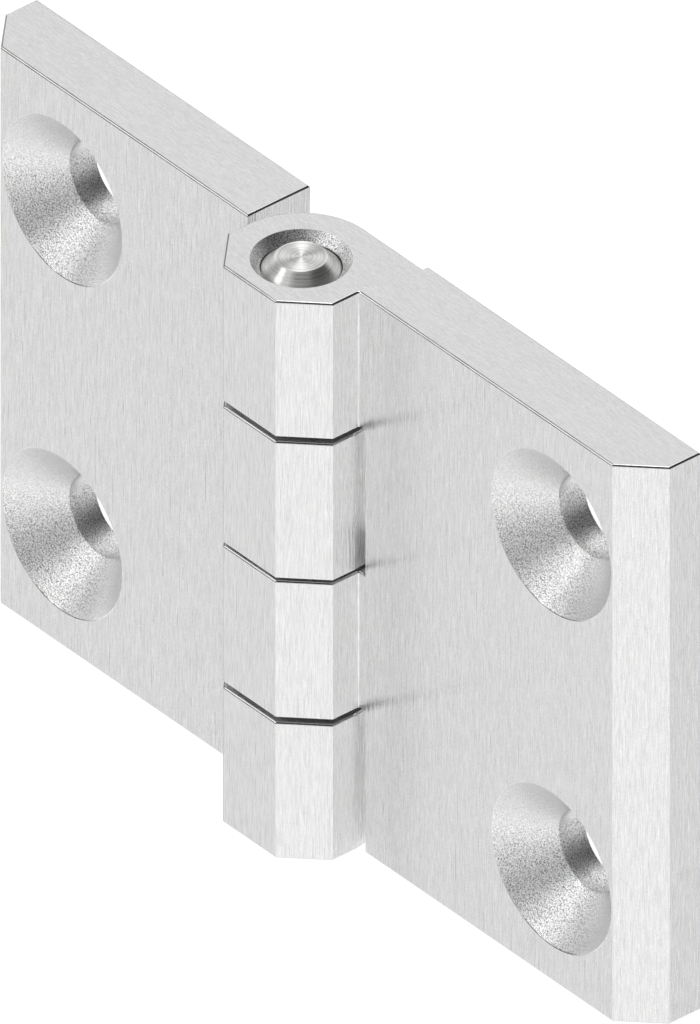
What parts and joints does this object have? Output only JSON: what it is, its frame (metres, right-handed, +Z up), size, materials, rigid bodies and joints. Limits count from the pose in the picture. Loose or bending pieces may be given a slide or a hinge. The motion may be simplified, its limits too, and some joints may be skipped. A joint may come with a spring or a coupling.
{
  "type": "screw-on leaf hinge",
  "caption": "Screw-on leaf hinge for doors and gates: two thick bevelled leaves with interleaved knuckles on a pressed pin, countersunk screw holes.",
  "frame": {"origin": "centre of the flat-open hinge's box: X = 0 and Z = 0 on the pin at mid height, with the pin axis 0.75 mm in front of the origin (Y = -0.75 mm)", "axes": "+X towards the door leaf's outer end, +Y back towards the surfaces the leaves are screwed to, +Z up along the pin"},
  "size_m": [0.076, 0.0116, 0.0504],
  "materials": {
    "frame_leaf": "brushed along the pin, blasted countersinks",
    "door_leaf": "brushed along the pin, blasted countersinks",
    "hinge_pin": "turned",
    "bearing_plastic": "moulded, matt"
  },
  "bodies": {
    "frame_side": {"frame_leaf": "frame_leaf", "upper_bush": "bearing_plastic", "lower_bush": "bearing_plastic", "top_thrust_washer": "bearing_plastic", "middle_thrust_washer": "bearing_plastic", "bottom_thrust_washer": "bearing_plastic"},
    "door_side": {"door_leaf": "door_leaf", "hinge_pin": "hinge_pin"}
  },
  "joints": [
    {"name": "door_swing", "type": "hinge", "parent": "frame_side", "child": "door_side", "pos_m": [0, -0.00075, 0], "axis": [0, 0, -1], "range_deg": [-90, 180]}
  ]
}
